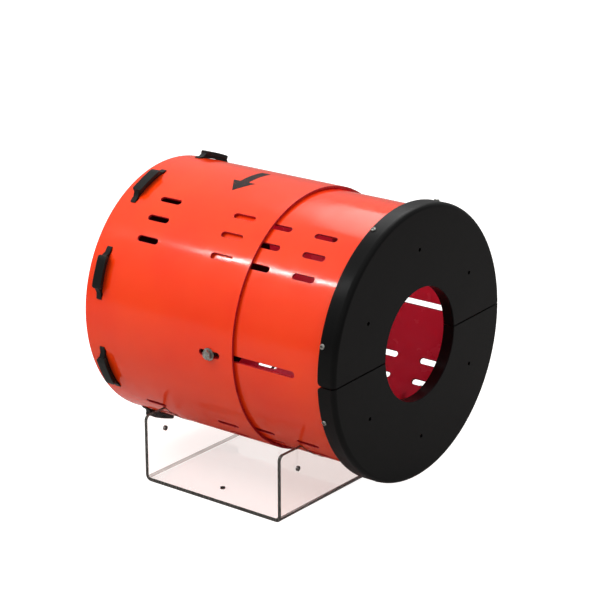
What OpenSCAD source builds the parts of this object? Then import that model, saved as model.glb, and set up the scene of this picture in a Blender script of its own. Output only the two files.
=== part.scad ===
// Telescoping shaft-coupling guard on a clear saddle bracket.
// X runs along the guarded shaft, from the rear end to the front plate.
// Z is up, and the origin is on the floor, midway along and midway across.
// Angles are measured about the shaft, from +Y towards +Z.

/* [Shells] */
// Outside diameter of the outer shell
outer_d = 333; // [275:1:396]
// Length of the outer shell
outer_len = 237; // [195:1:290]
// Length of the inner shell
inner_len = 232; // [190:1:280]
// Length over which the two shells overlap
overlap = 93; // [70:1:130]
// Thickness of the rolled sheet
sheet_t = 3; // [2:0.1:4]
// Radial gap between the outer and the inner shell
slide_gap = 1.5; // [0.3:0.1:3]
// Width of the lengthwise split along the bottom of each shell
peel_gap = 1.5; // [1:0.5:6]

/* [Ventilation slots] */
// Length of a slot, along the shaft
vent_len = 32; // [20:1:38]
// Width of a slot
vent_w = 7.5; // [5:0.5:10]
// Angle from the near clamp to the first slot of each group on the near side
vent_near_first = 40.7; // [36:0.1:44]
// Angle from straight across to the first slot of each group on the far side
vent_far_first = 33.3; // [30:0.1:44]
// Angle from one slot to the next
vent_step = 10.3; // [8:0.1:12]
// Slots in each group
vent_rows = 3; // [1:1:4]
// From the rear rim to the middle of the outer shell's rear slots
vent_outer_rear = 75; // [60:1:90]
// From the outer shell's front rim to the middle of its front slots
vent_outer_front = 45; // [30:1:60]
// From the inner shell's front rim to the middle of its front slots
vent_inner_front = 63; // [50:1:75]
// Distance between the inner shell's two columns of slots
vent_inner_pitch = 67; // [50:1:80]

/* [Clamp bolts] */
// From the outer shell's front rim to the clamp bolts
clamp_from_rim = 36; // [30:1:50]
// Angle by which the far clamp and its slots lie below straight across from the near ones
far_clamp_drop = 7.3; // [0:0.1:10]
// Length of the short slot in the outer shell
short_slot_len = 31; // [24:1:40]
// From the inner shell's front rim to the end of the long slot
long_slot_front = 50; // [40:1:60]
// From the inner shell's rear rim to the end of the long slot
long_slot_rear = 20; // [12:1:30]
// Diameter of the clamp bolts
bolt_d = 6.3; // [5:0.1:8]
// How much wider the clamp slots are than the bolts
slot_clearance = 1.2; // [0.6:0.1:2]
// Width across the flats of the bolt heads and nuts
hex_af = 11; // [10:0.5:14]
// Height of the bolt heads
bolt_head_h = 4.2; // [3:0.1:5]
// Height of the nuts
nut_h = 5.6; // [4:0.1:7]
// Outside diameter of the washers
washer_d = 16; // [14:0.5:22]
// Thickness of the washers
washer_t = 1.6; // [1:0.1:2]
// Length of bolt that stands past the nut
bolt_tip = 2.5; // [1:0.5:5]

/* [Front plate] */
// Thickness of the front plate
plate_t = 16; // [12:0.5:20]
// Length of the lip that laps over the inner shell
lip_len = 8; // [7:0.5:10]
// Thickness of the lip, outwards from the inner shell
lip_wall = 10.2; // [7:0.1:14]
// Radius of the rounded front edge
plate_round = 6; // [1:0.5:8]
// Radius of the lip's corners at the split
lip_corner = 5; // [1:0.5:6]
// Diameter of the hole for the shaft or hub
shaft_hole_d = 142; // [60:1:180]
// Gap between the upper and the lower half plates
plate_gap = 1.8; // [0.5:0.1:2]
// Diameter of the six holes in the face
face_hole_d = 5; // [4:0.5:8]
// Pitch circle of the six holes in the face
face_hole_pcd = 240; // [200:1:250]

/* [Rim screws] */
// Angle from the split to the first rim screw of a half
rim_screw_low = 16; // [12:1:24]
// Angle from the split to the second rim screw of a half
rim_screw_high = 68; // [60:1:75]
// Diameter of the screw shanks
screw_d = 4; // [3:0.1:5]
// Diameter of the screw heads
screw_head_d = 7; // [6:0.1:7.5]
// Height of the screw heads
screw_head_h = 2.2; // [1.5:0.1:3]
// Length of screw that stands into the guard
screw_tip = 2; // [0:0.5:4]

/* [Rear plate] */
// From the rear rim to the rear face of the rear plate
rear_plate_inset = 15; // [9:0.5:20]
// Thickness of the rear plate
rear_plate_t = 16; // [14:0.5:20]
// Diameter of the hole for the shaft or hub
rear_hole_d = 142; // [60:1:180]

/* [End clips] */
// Clips round the rear end
clip_count = 8; // [4:4:8]
// Width of a clip, along the shaft
clip_w = 14; // [10:0.5:20]
// Length of a clip where it meets the shell
clip_base = 67; // [54:1:80]
// Length of the clip's outer face
clip_top = 42; // [30:1:44]
// Height of a clip above the shell
clip_h = 9; // [7:0.5:12]
// Thickness of the pad on top of a clip
pad_t = 5; // [3:0.5:6]
// Thickness of a clip's feet on the shell
foot_t = 2; // [1.2:0.1:3]
// Width of a clip's feet and legs, along the shaft
leg_w = 8; // [6:0.5:10]
// Thickness of a clip's legs
leg_t = 4; // [3:0.1:5]
// From each end of a clip to its leg
leg_inset = 4; // [2:0.5:8]
// Depth that the legs reach below the shell's outside
leg_depth = 16; // [12:0.5:20]

/* [Saddle bracket] */
// Angle that the guard is turned in its saddle
roll = 2.3; // [-180:0.1:180]
// Length of the bracket, along the shaft
bracket_len = 217; // [180:1:230]
// Depth of the bracket, across the shaft
bracket_depth = 302; // [280:1:330]
// Height of the bracket's walls
bracket_h = 87; // [78:1:95]
// Thickness of the clear sheet
bracket_t = 4.8; // [3:0.1:6]
// Outside radius of the two bends
bend_r = 8; // [7:0.5:12]
// Radius of the walls' upper corners
corner_r = 7; // [2:0.5:12]
// From the outer shell's front rim on to the bracket's front wall
bracket_past_seam = 60; // [20:1:80]
// Height of the underside of the outer shell above the floor
saddle_h = 40.5; // [30:1:50]
// Diameter of the bracket's holes
bracket_hole_d = 6; // [4:0.5:8]
// From the walls' front and back edges to their holes
wall_hole_inset = 35; // [12:1:40]
// Height of the wall holes above the floor
wall_hole_h = 60; // [50:1:66]
// From the base's front and back edges to its holes
base_hole_inset = 33; // [12:1:50]
// From the middle of the base back to its two holes
base_hole_back = 10; // [0:1:20]

/* [Hidden] */
$fn = 180;
play = 0.1;                    // gap between pieces that are fastened together
glide = 0.3;                   // gap between the inner shell and the bracket it slides past
washer_play = 0.15;            // gap under a washer that slides on a shell
cut = 1;                       // how far a cutter runs past what it cuts
orange = "orangered";
black = "#1a1a1a";
zinc = "silver";

outer_r = outer_d / 2;
outer_bore_r = outer_r - sheet_t;
inner_r = outer_bore_r - slide_gap;
inner_bore_r = inner_r - sheet_t;
plate_r = inner_r + play + lip_wall;
clamp_slot_w = bolt_d + slot_clearance;
leg_pitch = clip_base - 2 * leg_inset - leg_t;
axis_h = saddle_h + outer_r;

overall_len = outer_len - overlap + inner_len + plate_t;
rear_x = -overall_len / 2;
front_x = overall_len / 2;
seam_x = rear_x + outer_len;
floor_x = front_x - plate_t;             // floor of the front plate's recess
inner_rear_x = floor_x - inner_len;
rim_screw_x = floor_x - lip_len / 2;
rear_plate_x = rear_x + rear_plate_inset;
clip_x = rear_plate_x + rear_plate_t / 2;
clamp_x = seam_x - clamp_from_rim;
bracket_x = seam_x + bracket_past_seam - bracket_len;
bracket_mid_x = bracket_x + bracket_len / 2;
wall_hole_y = bracket_depth / 2 - wall_hole_inset;
base_hole_y = bracket_depth / 2 - base_hole_inset;

rim_screw_angles = [
    rim_screw_low, rim_screw_high, 180 - rim_screw_high, 180 - rim_screw_low,
    180 + rim_screw_low, 180 + rim_screw_high, 360 - rim_screw_high, 360 - rim_screw_low
];
function clip_angle(i) = 360 / clip_count * (i - 0.5);
near = 180;                    // the side at -Y
far = -far_clamp_drop;         // the side at +Y

// Places children on the shaft's axis and turns them about it with the guard, so +Y points outwards
module on_axis(angle = 0) {
    translate([0, 0, axis_h]) rotate([angle + roll, 0, 0]) children();
}

// A solid cylinder along X, from x0 to x1
module rod_x(x0, x1, r) {
    translate([x0, 0, 0]) rotate([0, 90, 0]) cylinder(h = x1 - x0, r = r);
}

module tube_x(x0, x1, r_out, r_in) {
    difference() {
        rod_x(x0, x1, r_out);
        rod_x(x0 - cut, x1 + cut, r_in);
    }
}

// A round bar that points outwards along +Y, from radius r0 to r1
module rod_out(x, r0, r1, d, sides = 48) {
    translate([x, r0, 0]) rotate([-90, 0, 0]) cylinder(h = r1 - r0, d = d, $fn = sides);
}

// A cutter for a slot with round ends, long in X, that cuts from radius r0 outwards to r1
module slot_out(x, length, width, r0, r1) {
    translate([x, r0, 0]) rotate([-90, 0, 0]) linear_extrude(r1 - r0) {
        square([length - width, width], center = true);
        for (side = [-1, 1]) translate([side * (length - width) / 2, 0]) circle(d = width, $fn = 48);
    }
}

// The four groups of ventilation slots that one column holds
module vent_column(x, r_out) {
    for (group = [[180, vent_near_first], [0, vent_far_first]], side = [-1, 1], row = [0 : vent_rows - 1])
        rotate([group[0] + side * (group[1] + row * vent_step), 0, 0])
            slot_out(x, vent_len, vent_w, r_out - sheet_t - cut, r_out + cut);
}

// The lengthwise split at the bottom, where a shell peels open over the coupling
module peel_split(x0, x1, r_out) {
    translate([x0 - cut, -peel_gap / 2, -r_out - cut])
        cube([x1 - x0 + 2 * cut, peel_gap, sheet_t + 3 * cut]);
}

// Cutters or legs for one end clip, which reach from radius r0 to r1
module clip_legs(r0, r1, gap) {
    for (side = [-1, 1])
        translate([
            clip_x - leg_w / 2 - gap,
            r0,
            side * leg_pitch / 2 - leg_t / 2 - gap
        ]) cube([leg_w + 2 * gap, r1 - r0, leg_t + 2 * gap]);
}

module outer_shell() {
    color(orange) on_axis() difference() {
        tube_x(rear_x, seam_x, outer_r, outer_bore_r);
        peel_split(rear_x, seam_x, outer_r);
        vent_column(rear_x + vent_outer_rear, outer_r);
        vent_column(seam_x - vent_outer_front, outer_r);
        for (side = [near, far]) rotate([side, 0, 0])
            slot_out(clamp_x, short_slot_len, clamp_slot_w, outer_bore_r - cut, outer_r + cut);
        for (i = [1 : clip_count]) rotate([clip_angle(i), 0, 0])
            clip_legs(outer_r - leg_depth, outer_r + cut, play);
    }
}

module inner_shell() {
    slot_x0 = inner_rear_x + long_slot_rear;
    slot_x1 = floor_x - long_slot_front;
    color(orange) on_axis() difference() {
        tube_x(inner_rear_x, floor_x, inner_r, inner_bore_r);
        peel_split(inner_rear_x, floor_x, inner_r);
        vent_column(floor_x - vent_inner_front, inner_r);
        vent_column(floor_x - vent_inner_front - vent_inner_pitch, inner_r);
        for (side = [near, far]) rotate([side, 0, 0])
            slot_out(
                (slot_x0 + slot_x1) / 2, slot_x1 - slot_x0, clamp_slot_w,
                inner_bore_r - cut, inner_r + cut
            );
        for (angle = rim_screw_angles) rotate([angle, 0, 0])
            rod_out(rim_screw_x, inner_bore_r - cut, inner_r + cut, screw_d + 2 * play);
    }
}

// The front plate's section, with the radius along X and the shaft's direction along Y
module front_plate_section() {
    lip_r = inner_r + play;
    difference() {
        union() {
            translate([shaft_hole_d / 2, 0]) square([plate_r - shaft_hole_d / 2, plate_t]);
            translate([lip_r, -lip_len]) square([plate_r - lip_r, lip_len + cut]);
        }
        translate([plate_r - plate_round, plate_t - plate_round]) difference() {
            square(plate_round + cut);
            circle(r = plate_round, $fn = 64);
        }
    }
}

// Half a front plate, above the split, turned by angle about the shaft
module front_half(angle, screw_angles) {
    color(black) on_axis(angle) difference() {
        translate([floor_x, 0, 0]) rotate([0, 90, 0]) rotate_extrude() front_plate_section();
        translate([floor_x - lip_len - cut, -outer_d, -outer_d])
            cube([plate_t + lip_len + 2 * cut, 2 * outer_d, outer_d + plate_gap / 2]);
        for (side = [-1, 1]) scale([1, side, 1])
            translate([floor_x - lip_len, 0, plate_gap / 2]) rotate([-90, 0, 0]) lip_corner_cutter();
        for (a = [30, 90, 150]) rotate([a, 0, 0])
            translate([floor_x - cut, face_hole_pcd / 2, 0]) rotate([0, 90, 0])
                cylinder(h = plate_t + 2 * cut, d = face_hole_d, $fn = 48);
        for (a = screw_angles) rotate([a - angle, 0, 0])
            rod_out(rim_screw_x, inner_r - cut, plate_r + cut, screw_d + 2 * play);
    }
}

// Rounds the lip's corner where it meets the split
module lip_corner_cutter() {
    translate([0, 0, inner_r - lip_len]) difference() {
        translate([-cut, -lip_corner, 0]) cube([lip_corner + cut, lip_corner + cut, plate_r]);
        translate([lip_corner, -lip_corner, -cut])
            cylinder(h = plate_r + 2 * cut, r = lip_corner, $fn = 48);
    }
}

module front_plate_upper() {
    front_half(0, [for (i = [0 : 3]) rim_screw_angles[i]]);
}

module front_plate_lower() {
    front_half(180, [for (i = [4 : 7]) rim_screw_angles[i]]);
}

module rim_screw(i) {
    color(zinc) on_axis(rim_screw_angles[i - 1]) {
        rod_out(rim_screw_x, inner_bore_r - screw_tip, plate_r + screw_head_h / 2, screw_d);
        rod_out(rim_screw_x, plate_r, plate_r + screw_head_h, screw_head_d);
    }
}

// Half a rear plate, above the split, turned by angle about the shaft
module rear_half(angle) {
    color(black) on_axis(angle) difference() {
        tube_x(rear_plate_x, rear_plate_x + rear_plate_t, outer_bore_r - play, rear_hole_d / 2);
        translate([rear_plate_x - cut, -outer_d, -outer_d])
            cube([rear_plate_t + 2 * cut, 2 * outer_d, outer_d + plate_gap / 2]);
        for (i = [1 : clip_count / 2]) rotate([clip_angle(i), 0, 0])
            clip_legs(outer_r - leg_depth - play, outer_r + cut, play);
    }
}

module rear_plate_upper() {
    rear_half(0);
}

module rear_plate_lower() {
    rear_half(180);
}

// The radius-wise height of the top of a clip's foot, at a distance across from the clip's middle
function foot_r(across) = sqrt(pow(outer_r, 2) - pow(across, 2)) + foot_t;

// A bridge-shaped clip on the shell: a wide pad on a narrow rib with thin feet, whose legs reach
// through the shell into the rear plate
module end_clip(i) {
    rib_base_r = outer_bore_r - sheet_t;
    pad_r = outer_r + clip_h - pad_t;
    shoulder = clip_top / 2 + foot_t;
    if (i <= clip_count)
        color(black) on_axis(clip_angle(i)) {
            difference() {
                clip_slab(leg_w) polygon([
                    [rib_base_r, -clip_base / 2],
                    [foot_r(clip_base / 2), -clip_base / 2],
                    [foot_r(shoulder), -shoulder],
                    [outer_r + clip_h, -clip_top / 2],
                    [outer_r + clip_h, clip_top / 2],
                    [foot_r(shoulder), shoulder],
                    [foot_r(clip_base / 2), clip_base / 2],
                    [rib_base_r, clip_base / 2]
                ]);
                rod_x(rear_x, clip_x + clip_w, outer_r + play / 2);
            }
            clip_slab(clip_w) translate([pad_r, -clip_top / 2]) square([pad_t, clip_top]);
            clip_legs(outer_r - leg_depth, outer_bore_r + sheet_t / 2, 0);
        }
}

// A slab across the shaft's direction, whose outline has the radius along X
module clip_slab(width) {
    translate([clip_x - width / 2, 0, 0]) rotate([90, 0, 90]) linear_extrude(width) children();
}

// Clamp hardware sits on a flat radius, so a washer clears the curve of the shell at its sides
outer_seat_r = outer_r + washer_play;
inner_seat_r = sqrt(pow(inner_bore_r, 2) - pow(washer_d / 2, 2)) - washer_play;

module hexagon_out(x, r0, r1) {
    rod_out(x, r0, r1, hex_af / cos(30), 6);
}

module clamp_bolt(side) {
    head_r = outer_seat_r + washer_t;
    tip_r = inner_seat_r - washer_t - nut_h - bolt_tip;
    color(zinc) on_axis(side) {
        rod_out(clamp_x, tip_r, head_r + bolt_head_h / 2, bolt_d);
        hexagon_out(clamp_x, head_r, head_r + bolt_head_h);
    }
}

module clamp_outer_washer(side) {
    color(zinc) on_axis(side) difference() {
        rod_out(clamp_x, outer_seat_r, outer_seat_r + washer_t, washer_d);
        rod_out(clamp_x, outer_seat_r - cut, outer_seat_r + washer_t + cut, bolt_d + 2 * play);
    }
}

module clamp_inner_washer(side) {
    color(zinc) on_axis(side) difference() {
        rod_out(clamp_x, inner_seat_r - washer_t, inner_seat_r, washer_d);
        rod_out(clamp_x, inner_seat_r - washer_t - cut, inner_seat_r + cut, bolt_d + 2 * play);
    }
}

module clamp_nut(side) {
    nut_r = inner_seat_r - washer_t;
    color(zinc) on_axis(side) difference() {
        hexagon_out(clamp_x, nut_r - nut_h, nut_r);
        rod_out(clamp_x, nut_r - nut_h - cut, nut_r + cut, bolt_d + play);
    }
}

// One bend of the bracket, outside at the origin's corner, in the sheet's section
module bend_section() {
    translate([bend_r, bend_r]) intersection() {
        difference() {
            circle(r = bend_r, $fn = 64);
            circle(r = bend_r - bracket_t, $fn = 64);
        }
        translate([-bend_r, -bend_r]) square(bend_r);
    }
}

// The bracket's section, a U of bent sheet, with X along the shaft and Y up
module bracket_section() {
    translate([bend_r, 0]) square([bracket_len - 2 * bend_r, bracket_t]);
    for (side = [0, 1]) translate([side * bracket_len, 0]) mirror([side, 0]) {
        translate([0, bend_r]) square([bracket_t, bracket_h - bend_r]);
        bend_section();
    }
}

// The outline of the bracket's walls, seen along the shaft
module wall_outline() {
    translate([-bracket_depth / 2, 0]) square([bracket_depth, bracket_h - corner_r]);
    translate([-bracket_depth / 2 + corner_r, 0]) square([bracket_depth - 2 * corner_r, bracket_h]);
    for (side = [-1, 1])
        translate([side * (bracket_depth / 2 - corner_r), bracket_h - corner_r])
            circle(r = corner_r, $fn = 64);
}

module saddle_bracket() {
    color("lightcyan") difference() {
        intersection() {
            translate([bracket_x, 0, 0]) rotate([90, 0, 0]) linear_extrude(bracket_depth, center = true)
                bracket_section();
            translate([bracket_x, 0, 0]) rotate([90, 0, 90]) linear_extrude(bracket_len) wall_outline();
        }
        on_axis() rod_x(bracket_x - cut, bracket_mid_x, outer_r + play / 2);
        on_axis() rod_x(bracket_mid_x, bracket_x + bracket_len + cut, inner_r + glide);
        for (side = [-1, 1]) {
            translate([bracket_x - cut, side * wall_hole_y, wall_hole_h]) rotate([0, 90, 0])
                cylinder(h = bracket_len + 2 * cut, d = bracket_hole_d, $fn = 48);
            translate([bracket_mid_x - base_hole_back, side * base_hole_y, -cut])
                cylinder(h = bracket_t + 2 * cut, d = bracket_hole_d, $fn = 48);
        }
    }
}

outer_shell();
inner_shell();
front_plate_upper();
front_plate_lower();
rear_plate_upper();
rear_plate_lower();
rim_screw(1);  // rim_screw_1
rim_screw(2);  // rim_screw_2
rim_screw(3);  // rim_screw_3
rim_screw(4);  // rim_screw_4
rim_screw(5);  // rim_screw_5
rim_screw(6);  // rim_screw_6
rim_screw(7);  // rim_screw_7
rim_screw(8);  // rim_screw_8
end_clip(1);  // end_clip_1
end_clip(2);  // end_clip_2
end_clip(3);  // end_clip_3
end_clip(4);  // end_clip_4
end_clip(5);  // end_clip_5
end_clip(6);  // end_clip_6
end_clip(7);  // end_clip_7
end_clip(8);  // end_clip_8
clamp_bolt(near);  // clamp_bolt_near
clamp_bolt(far);  // clamp_bolt_far
clamp_outer_washer(near);  // clamp_outer_washer_near
clamp_outer_washer(far);  // clamp_outer_washer_far
clamp_inner_washer(near);  // clamp_inner_washer_near
clamp_inner_washer(far);  // clamp_inner_washer_far
clamp_nut(near);  // clamp_nut_near
clamp_nut(far);  // clamp_nut_far
saddle_bracket();
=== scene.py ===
"""Looks for a telescoping shaft-coupling guard on a clear saddle bracket.

The shells and the bracket are made the way the real ones are: a flat blank is cut out, its rims are
eased, and the blank is then rolled or bent to shape. Plates, screws, bolts and nuts are turned.
"""

import math

import bmesh
import bpy
from bpy.props import FloatProperty, IntProperty, PointerProperty, StringProperty
from mathutils import Matrix, Vector, noise
from mathutils.geometry import delaunay_2d_cdt, tessellate_polygon


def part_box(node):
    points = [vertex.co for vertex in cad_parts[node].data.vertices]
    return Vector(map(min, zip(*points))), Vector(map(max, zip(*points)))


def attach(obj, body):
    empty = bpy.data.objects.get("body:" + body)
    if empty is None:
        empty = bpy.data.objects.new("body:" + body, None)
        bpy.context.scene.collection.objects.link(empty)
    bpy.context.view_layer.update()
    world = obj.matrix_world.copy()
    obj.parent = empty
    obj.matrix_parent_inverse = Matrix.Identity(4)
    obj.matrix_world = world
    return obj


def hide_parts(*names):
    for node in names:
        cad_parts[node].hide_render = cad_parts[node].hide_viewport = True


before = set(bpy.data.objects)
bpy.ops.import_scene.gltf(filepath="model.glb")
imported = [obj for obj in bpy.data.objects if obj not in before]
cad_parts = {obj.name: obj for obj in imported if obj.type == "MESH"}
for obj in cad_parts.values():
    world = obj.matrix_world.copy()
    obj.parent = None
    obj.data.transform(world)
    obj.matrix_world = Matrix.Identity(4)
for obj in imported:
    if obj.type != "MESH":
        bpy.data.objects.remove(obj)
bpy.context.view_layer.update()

bl_info = {
    "name": "Coupling Guard",
    "version": (1, 0, 0),
    "blender": (4, 5, 0),
    "location": "3D View > Sidebar > Guard",
    "description": "Builds a telescoping coupling guard around its packed frame",
    "category": "Object",
}

MM = 0.001

# Places that the frame gives
OUTER_LOW, OUTER_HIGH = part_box("outer_shell")
INNER_LOW, INNER_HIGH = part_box("inner_shell")
PLATE_LOW, PLATE_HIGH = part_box("front_plate_upper")
REAR_LOW, REAR_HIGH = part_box("rear_plate_upper")
BRACKET_LOW, BRACKET_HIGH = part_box("saddle_bracket")
AXIS_Z = (OUTER_LOW.z + OUTER_HIGH.z) / 2
OUTER_R = (OUTER_HIGH.y - OUTER_LOW.y) / 2
INNER_R = (INNER_HIGH.y - INNER_LOW.y) / 2
PLATE_R = PLATE_HIGH.z - AXIS_Z
REAR_R = REAR_HIGH.z - AXIS_Z


def middle_x(node):
    """Where a node's middle lies along the shaft."""
    low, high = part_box(node)
    return (low.x + high.x) / 2


def angle_of(node):
    """Angle about the shaft of a node's middle, from +Y towards +Z."""
    middle = sum(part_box(node), Vector()) / 2
    return math.atan2(middle.z - AXIS_Z, middle.y)


# The guard is turned in its saddle by ROLL. Its own angles count from there: its near clamp is at
# half a turn, and its far clamp at FAR.
NEAR = math.pi
ROLL = angle_of("clamp_outer_washer_near") + math.pi
FAR = angle_of("clamp_outer_washer_far") - ROLL
CLIP_X = middle_x("end_clip_1")
PLAY = 0.1 * MM  # gap round a clip's leg
FIRST_FACE_HOLE, FACE_HOLES = math.radians(30), 6
HALVES = (("upper", 0.0), ("lower", math.pi))
# The ripple's waves: share of its height, noise cells across the shell, and cells per metre along it
WAVES = ((1.0, 2.2, 9), (0.5, 6, 22))


def size_prop(name, description, default_mm):
    """A length that a user can set, given here in millimetres."""
    return FloatProperty(
        name=name, description=description, default=default_mm * MM,
        unit="LENGTH", subtype="DISTANCE", precision=4,
    )


def angle_prop(name, description, degrees):
    return FloatProperty(
        name=name, description=description, default=math.radians(degrees),
        unit="ROTATION", subtype="ANGLE",
    )


def colour_prop(name, description, default_hex):
    return StringProperty(name=name, description=description, default=default_hex)


# ---------------------------------------------------------------- settings


class GuardShellSettings(bpy.types.PropertyGroup):
    """Sizes of the two rolled shells."""

    sheet: size_prop("Sheet", "Thickness of the rolled sheet", 3)
    peel_gap: size_prop("Split", "Width of the lengthwise split at the bottom", 1.5)
    vent_length: size_prop("Slot length", "Length of a ventilation slot", 32)
    vent_width: size_prop("Slot width", "Width of a ventilation slot", 7.5)
    near_first: angle_prop("First near slot", "Angle from the near clamp to the first slots", 40.7)
    far_first: angle_prop("First far slot", "Angle from straight across to the first slots", 33.3)
    vent_step: angle_prop("Slot step", "Angle from one slot to the next", 10.3)
    vent_rows: IntProperty(name="Slot rows", description="Slots in each group", default=3)
    outer_rear: size_prop("Rear slots", "From the outer shell's rear rim to its rear slots", 75)
    outer_front: size_prop("Seam slots", "From the outer shell's front rim to its front slots", 45)
    inner_front: size_prop("Front slots", "From the inner shell's front rim to its slots", 63)
    inner_pitch: size_prop("Slot pitch", "Distance between the inner shell's columns", 67)
    short_slot: size_prop("Short slot", "Length of the clamp slot in the outer shell", 31)
    long_slot_front: size_prop("Long slot front", "From the front rim to the long slot", 50)
    long_slot_rear: size_prop("Long slot rear", "From the rear rim to the long slot", 20)
    clamp_slot_width: size_prop("Clamp slot width", "Width of both clamp slots", 7.5)
    rim_ease: size_prop("Eased edge", "Rounding of the cut edges", 0.6)
    ripple: size_prop("Ripple", "Height of the slow ripple that rolling leaves in the sheet", 0.16)


class GuardPlateSettings(bpy.types.PropertyGroup):
    """Sizes of the end plates and the screws in the rim."""

    thickness: size_prop("Thickness", "Thickness of the front plate", 16)
    shaft_hole: size_prop("Shaft hole", "Diameter of the hole for the shaft", 142)
    front_round: size_prop("Front edge", "Radius of the rounded front edge", 6)
    edge_ease: size_prop("Eased edge", "Rounding of the other edges", 0.8)
    lip_corner: size_prop("Lip corner", "Radius of the lip's corners at the split", 5)
    lip_play: size_prop("Lip play", "Gap between the lip and the inner shell", 0.1)
    split: size_prop("Split", "Gap between the two halves of a plate", 1.8)
    face_hole: size_prop("Face holes", "Diameter of the holes in the face", 5)
    face_pitch_circle: size_prop("Pitch circle", "Pitch circle of the face holes", 240)
    screw_low: angle_prop("First screw", "Angle from the split to the first rim screw", 16)
    screw_high: angle_prop("Second screw", "Angle from the split to the second rim screw", 68)
    screw_head: size_prop("Screw head", "Diameter of the rim screws' heads", 7)
    screw_head_height: size_prop("Head height", "Height of the rim screws' heads", 2.2)
    screw_shank: size_prop("Shank", "Diameter of the rim screws' shanks", 4)


class GuardClipSettings(bpy.types.PropertyGroup):
    """Sizes of the bridge clips round the rear end."""

    count: IntProperty(name="Clips", description="Clips round the rear end", default=8)
    width: size_prop("Width", "Width of the pad, along the shaft", 14)
    rib: size_prop("Rib", "Width of the rib, feet and legs, along the shaft", 8)
    base: size_prop("Base", "Length of the clip where it meets the shell", 67)
    top: size_prop("Top", "Length of the pad", 42)
    height: size_prop("Height", "Height above the shell", 9)
    pad: size_prop("Pad", "Thickness of the pad", 5)
    foot: size_prop("Foot", "Thickness of the feet on the shell", 2)
    crown: size_prop("Crown", "How much the pad's ends lie below its middle", 0.7)
    corner: size_prop("Corner", "Chamfer of the pad's corners", 1.8)
    arch: size_prop("Arch", "Clear height under the middle of the clip", 0.3)
    leg: size_prop("Leg", "Thickness of a leg", 4)
    leg_inset: size_prop("Leg inset", "From the clip's end to its leg", 4)
    leg_depth: size_prop("Leg depth", "How far the legs reach below the shell's outside", 16)
    round: size_prop("Rounding", "Radius of the moulded edges", 0.8)


class GuardHardwareSettings(bpy.types.PropertyGroup):
    """Sizes of the clamp bolts, washers and nuts."""

    bolt: size_prop("Bolt", "Diameter of the clamp bolts", 6.3)
    flats: size_prop("Flats", "Width across the flats", 11)
    washer_hole_play: size_prop("Washer play", "Gap between a bolt and its washer", 0.1)
    thread_pitch: size_prop("Thread pitch", "Distance between thread crests", 1.27)


class GuardBracketSettings(bpy.types.PropertyGroup):
    """Sizes of the clear saddle bracket."""

    sheet: size_prop("Sheet", "Thickness of the clear sheet", 4.8)
    bend: size_prop("Bend", "Outside radius of the two bends", 8)
    corner: size_prop("Corner", "Radius of the walls' upper corners", 7)
    hole: size_prop("Holes", "Diameter of the holes", 6)
    wall_hole_inset: size_prop("Wall hole inset", "From the bracket's edge to the wall holes", 35)
    wall_hole_height: size_prop("Wall hole height", "From the floor to the wall holes", 60)
    base_hole_inset: size_prop("Base hole inset", "From the bracket's edge to the base holes", 33)
    base_hole_back: size_prop("Base hole offset", "From the middle back to the base holes", 10)
    shell_play: size_prop("Shell play", "Gap between a saddle and its shell", 0.05)
    slide_play: size_prop("Slide play", "Gap between a saddle and the sliding shell", 0.3)


class GuardFinishSettings(bpy.types.PropertyGroup):
    """Colours of the finishes, as sRGB hex values."""

    orange: colour_prop("Orange", "Shell sheet", "#F6400E")
    # Painted shade: a crimson-pink tint for the sheet's inner face stands for the shaded inside of the
    # guard; the real sheet is one colour through
    orange_inside_painted_shade: colour_prop("Deep orange", "Inner side of the shell sheet", "#F8485A")
    # Painted shade: the cut edges' darker crimson stands for the shadow in the seam and the sheet's depth
    # seen end-on
    edge: colour_prop("Edge", "Cut edges of the shell sheet", "#C21C20")
    black: colour_prop("Black", "End plates", "#090909")
    clip_black: colour_prop("Clip black", "Bridge clips", "#0A0B0A")
    zinc: colour_prop("Zinc", "Bolts, screws, washers and nuts", "#BEBFBA")
    clear: colour_prop("Clear", "Bracket sheet", "#FFF8F6")
    # Painted shade: the dark grey of the bracket's edges stands for light trapped along the clear sheet
    clear_edge_painted_shade: colour_prop("Clear edge", "Sawn and polished edges of the bracket", "#2B2A27")
    # Painted shade: the grey tint of the bends stands for the darker things seen through them
    bend: colour_prop("Bend", "Heated strips where the bracket is bent", "#B4ADA8")
    ink: colour_prop("Ink", "Printed direction mark", "#0E0908")
    floor: colour_prop("Floor", "Studio floor", "#A6A2A0")


class GuardStageSettings(bpy.types.PropertyGroup):
    """Camera and light."""

    azimuth: angle_prop("Azimuth", "Direction that the camera stands in", 37.985)
    elevation: angle_prop("Elevation", "Height of the camera above the horizon", 18.812)
    roll: angle_prop("Roll", "Turn of the camera about its view", -0.14)
    distance: size_prop("Distance", "From the camera to the aim point", 2737.7)
    lens: FloatProperty(name="Lens", description="Focal length in millimetres", default=131.19)
    aim_x: size_prop("Aim X", "Aim point along the shaft", 2)
    aim_y: size_prop("Aim Y", "Aim point across the shaft", 14.1)
    aim_z: size_prop("Aim Z", "Aim point above the floor", 219)


SETTINGS = {
    "guard_shell": GuardShellSettings,
    "guard_plate": GuardPlateSettings,
    "guard_clip": GuardClipSettings,
    "guard_hardware": GuardHardwareSettings,
    "guard_bracket": GuardBracketSettings,
    "guard_finish": GuardFinishSettings,
    "guard_stage": GuardStageSettings,
}


# ---------------------------------------------------------------- materials


def linear(hex_colour):
    """An sRGB hex colour as the linear colour that shaders take."""
    channels = [int(hex_colour[i:i + 2], 16) / 255 for i in (1, 3, 5)]
    flat = [c / 12.92 if c <= 0.04045 else ((c + 0.055) / 1.055) ** 2.4 for c in channels]
    return (*flat, 1.0)


def add(tree, kind, sockets=None, **settings):
    """Adds one shader node, sets its settings, and fills or links its input sockets."""
    node = tree.nodes.new(kind)
    for key, value in settings.items():
        setattr(node, key, value)
    for key, value in (sockets or {}).items():
        if isinstance(value, bpy.types.NodeSocket):
            tree.links.new(value, node.inputs[key])
        else:
            node.inputs[key].default_value = value
    return node


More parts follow.
